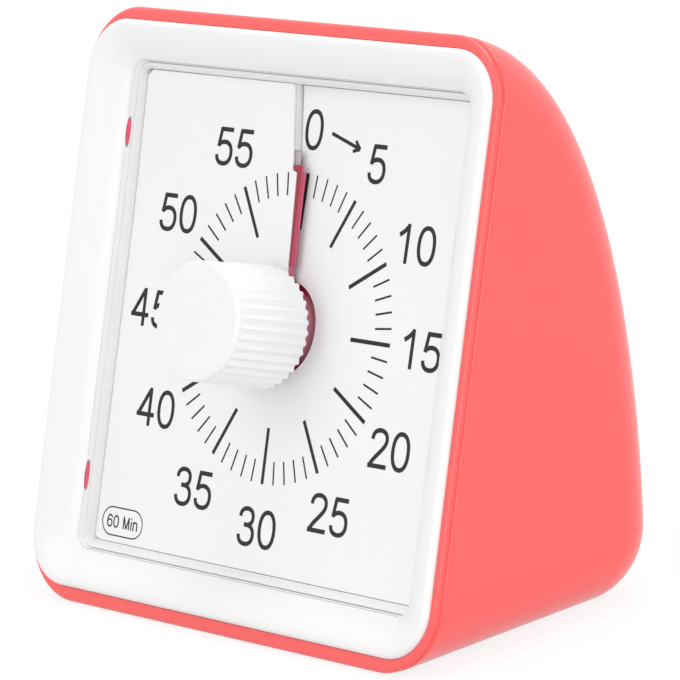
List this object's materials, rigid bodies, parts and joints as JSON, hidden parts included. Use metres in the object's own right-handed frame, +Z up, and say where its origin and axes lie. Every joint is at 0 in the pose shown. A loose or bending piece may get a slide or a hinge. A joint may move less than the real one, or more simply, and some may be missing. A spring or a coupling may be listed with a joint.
{
  "type": "visual countdown timer",
  "caption": "Table countdown timer: leaning square face in a white frame, coral shell, slit dial with a red disc that winds out as the fluted knob turns.",
  "frame": {"origin": "centre of the flat sole on the table, midway between front foot and heel, on the middle plane of the face", "axes": "+Z up from the table; -Y is the front, towards the viewer of the dial; +X runs to the right across the dial, as seen from the front"},
  "size_m": [0.0786, 0.0455, 0.0763],
  "materials": {
    "housing": "satin coral red",
    "front_bezel": "gloss white",
    "dial_tray": "white",
    "dial_card": "matt white, printed scale",
    "time_disc": "thin red film",
    "disc_pointer": "dark red",
    "disc_hub": "dark red",
    "knob": "satin white",
    "knob_spindle": "turned",
    "clutch_spring": "stamped",
    "movement_plate": "moulded",
    "movement_cover": "moulded",
    "centre_wheel": "stamped",
    "third_wheel": "stamped",
    "second_wheel": "stamped",
    "step_wheel": "moulded",
    "rotor": "moulded with magnet",
    "stator": "stamped",
    "coil": "enamelled wire",
    "circuit_board": "solder mask",
    "quartz_crystal": "drawn can",
    "control_chip": "moulded",
    "buzzer": "moulded",
    "battery": "satin printed sleeve",
    "battery_door": "satin coral red",
    "contact_spring": "nickel plated",
    "contact_plate": "nickel plated",
    "slide_switch": "folded",
    "switch_slider": "moulded",
    "tray_screws": "zinc plated",
    "movement_screws": "zinc plated"
  },
  "bodies": {
    "case": {"housing": "housing", "front_bezel": "front_bezel", "dial_tray": "dial_tray", "dial_card": "dial_card", "movement_plate": "movement_plate", "movement_cover": "movement_cover", "stator": "stator", "coil": "coil", "circuit_board": "circuit_board", "quartz_crystal": "quartz_crystal", "control_chip": "control_chip", "buzzer": "buzzer", "battery": "battery", "contact_spring": "contact_spring", "contact_plate": "contact_plate", "slide_switch": "slide_switch", "tray_screws": "tray_screws", "movement_screws": "movement_screws"},
    "knob": {"knob": "knob", "knob_spindle": "knob_spindle", "disc_hub": "disc_hub", "clutch_spring": "clutch_spring"},
    "disc": {"time_disc": "time_disc", "disc_pointer": "disc_pointer"},
    "door": {"battery_door": "battery_door"},
    "slider": {"switch_slider": "switch_slider"},
    "motor": {"rotor": "rotor"},
    "step": {"step_wheel": "step_wheel"},
    "second": {"second_wheel": "second_wheel"},
    "third": {"third_wheel": "third_wheel"},
    "centre": {"centre_wheel": "centre_wheel"}
  },
  "joints": [
    {"name": "knob_turn", "type": "hinge", "parent": "case", "child": "knob", "pos_m": [0, -0.00502, 0.0371], "axis": [0, 0.9521, -0.3057], "range_deg": [0, 360]},
    {"name": "disc_slide", "type": "slide", "parent": "knob", "child": "disc", "axis": [0, -0.9521, 0.3057], "range_m": [0, 0.0017]},
    {"name": "battery_door_turn", "type": "hinge", "parent": "case", "child": "door", "pos_m": [0, 0.0221, 0.0073], "axis": [-1, 0, 0], "range_deg": [0, 75]},
    {"name": "volume_slide", "type": "slide", "parent": "case", "child": "slider", "axis": [1, 0, 0], "range_m": [-0.002, 0.002]},
    {"name": "rotor_turn", "type": "hinge", "parent": "case", "child": "motor", "pos_m": [-0.01156, -0.00285, 0.04386], "axis": [0, 0.9521, -0.3057], "continuous": true},
    {"name": "step_turn", "type": "hinge", "parent": "case", "child": "step", "pos_m": [-0.00509, -0.0023, 0.04557], "axis": [0, 0.9521, -0.3057], "continuous": true},
    {"name": "second_turn", "type": "hinge", "parent": "case", "child": "second", "pos_m": [0.00322, -0.00157, 0.04784], "axis": [0, 0.9521, -0.3057], "continuous": true},
    {"name": "third_turn", "type": "hinge", "parent": "case", "child": "third", "pos_m": [0.00748, -0.0037, 0.04121], "axis": [0, 0.9521, -0.3057], "continuous": true},
    {"name": "centre_turn", "type": "hinge", "parent": "case", "child": "centre", "pos_m": [0, -0.00502, 0.0371], "axis": [0, 0.9521, -0.3057], "continuous": true}
  ],
  "couplings": [
    {"joint": "disc_slide", "follows": "knob_turn", "m_per_rad": 0.00027056},
    {"joint": "step_turn", "follows": "rotor_turn", "ratio": -0.16667},
    {"joint": "second_turn", "follows": "rotor_turn", "ratio": 0.033333},
    {"joint": "third_turn", "follows": "rotor_turn", "ratio": -0.0044444},
    {"joint": "centre_turn", "follows": "rotor_turn", "ratio": 0.00055556}
  ]
}
